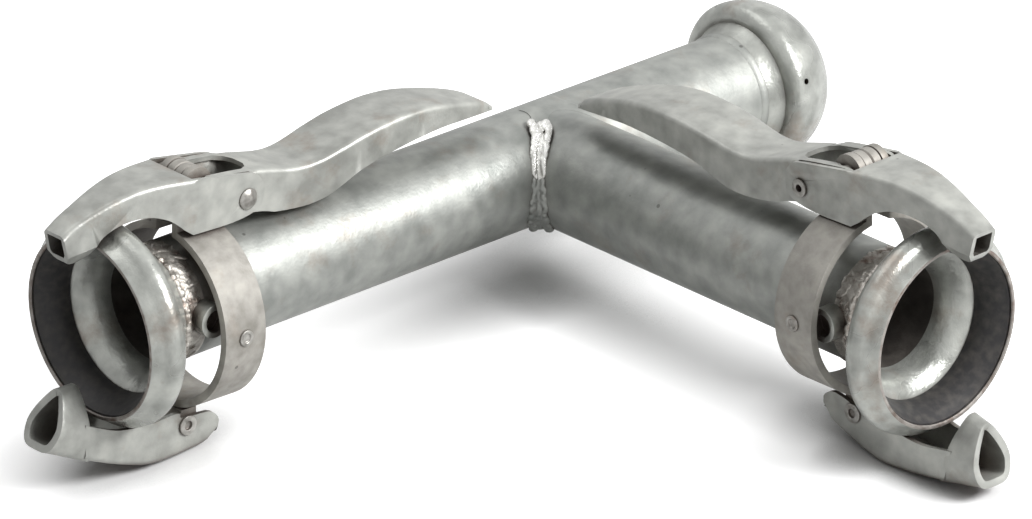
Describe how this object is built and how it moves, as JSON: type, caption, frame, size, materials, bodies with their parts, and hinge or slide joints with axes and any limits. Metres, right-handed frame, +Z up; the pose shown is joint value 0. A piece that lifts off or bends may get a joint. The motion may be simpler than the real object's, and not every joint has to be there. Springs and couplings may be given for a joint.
{
  "type": "galvanised pipe tee",
  "caption": "Welded steel pipe tee in hot-dip zinc with lever-ring sockets, rubber seals and a hollow ball end, for quick-coupling water pipes.",
  "frame": {"origin": "where the axes of the run tube and the branch tube cross", "axes": "+X along the run tube toward the ball end, -Y along the branch tube toward its socket, +Z up, toward the levers"},
  "size_m": [0.6446, 0.4811, 0.1981],
  "materials": {
    "zinc_tube": "matte hot-dip zinc on steel tube, mottled",
    "zinc_weld": "lumpy weld under bright zinc, brown in its low places",
    "zinc_pressed": "hot-dip zinc on pressed sheet, smooth with soft highlights",
    "zinc_bar": "hot-dip zinc on flat bar, warm grey",
    "zinc_folded": "hot-dip zinc on folded sheet, warm and cool grey patches",
    "zinc_rivet": "hot-dip zinc on rivets and pins",
    "seal_rubber": "dark charcoal rubber, slightly worn"
  },
  "bodies": {
    "tee": {"run_pipe": "zinc_tube", "branch_pipe": "zinc_tube", "junction_weld": "zinc_weld", "male_ball": "zinc_pressed", "male_weld": "zinc_weld", "run_cup": "zinc_pressed", "run_seal": "seal_rubber", "run_cup_weld": "zinc_weld", "run_bosses": "zinc_pressed", "branch_cup": "zinc_pressed", "branch_seal": "seal_rubber", "branch_cup_weld": "zinc_weld", "branch_bosses": "zinc_pressed"},
    "run_ring_body": {"run_band": "zinc_bar", "run_side_pins": "zinc_rivet", "run_spacer": "zinc_bar"},
    "run_lever_body": {"run_lever": "zinc_folded", "run_lug_pin": "zinc_rivet"},
    "run_hook_body": {"run_hook": "zinc_folded", "run_hook_rivet": "zinc_rivet"},
    "run_lower_body": {"run_lower_hook": "zinc_folded", "run_lower_rivet": "zinc_rivet"},
    "branch_ring_body": {"branch_band": "zinc_bar", "branch_side_pins": "zinc_rivet", "branch_spacer": "zinc_bar"},
    "branch_lever_body": {"branch_lever": "zinc_folded", "branch_lug_pin": "zinc_rivet"},
    "branch_hook_body": {"branch_hook": "zinc_folded", "branch_hook_rivet": "zinc_rivet"},
    "branch_lower_body": {"branch_lower_hook": "zinc_folded", "branch_lower_rivet": "zinc_rivet"}
  },
  "joints": [
    {"name": "run_ring_swing", "type": "hinge", "parent": "tee", "child": "run_ring_body", "pos_m": [-0.3028, 0, -0.0095], "axis": [0, -1, 0], "range_deg": [0, 1.5]},
    {"name": "run_lever_lift", "type": "hinge", "parent": "run_ring_body", "child": "run_lever_body", "pos_m": [-0.29978, 0, 0.07695], "axis": [0, -1, 0], "range_deg": [0, 90]},
    {"name": "run_hook_turn", "type": "hinge", "parent": "run_lever_body", "child": "run_hook_body", "pos_m": [-0.26818, 0, 0.06135], "axis": [0, -1, 0], "range_deg": [-126, 0]},
    {"name": "run_lower_swing", "type": "hinge", "parent": "run_ring_body", "child": "run_lower_body", "pos_m": [-0.31918, 0, -0.07747], "axis": [0, -1, 0], "range_deg": [0, 18]},
    {"name": "branch_ring_swing", "type": "hinge", "parent": "tee", "child": "branch_ring_body", "pos_m": [0, -0.2912, 0.003], "axis": [1, 0, 0], "range_deg": [0, 3]},
    {"name": "branch_lever_lift", "type": "hinge", "parent": "branch_ring_body", "child": "branch_lever_body", "pos_m": [0, -0.28969, 0.08949], "axis": [1, 0, 0], "range_deg": [0, 90]},
    {"name": "branch_hook_turn", "type": "hinge", "parent": "branch_lever_body", "child": "branch_hook_body", "pos_m": [0, -0.25895, 0.07225], "axis": [1, 0, 0], "range_deg": [-126, 0]},
    {"name": "branch_lower_swing", "type": "hinge", "parent": "branch_ring_body", "child": "branch_lower_body", "pos_m": [0, -0.30639, -0.06524], "axis": [1, 0, 0], "range_deg": [0, 7]}
  ],
  "couplings": [
    {"joint": "run_hook_turn", "follows": "run_lever_lift", "ratio": -1.4},
    {"joint": "branch_hook_turn", "follows": "branch_lever_lift", "ratio": -1.4}
  ]
}
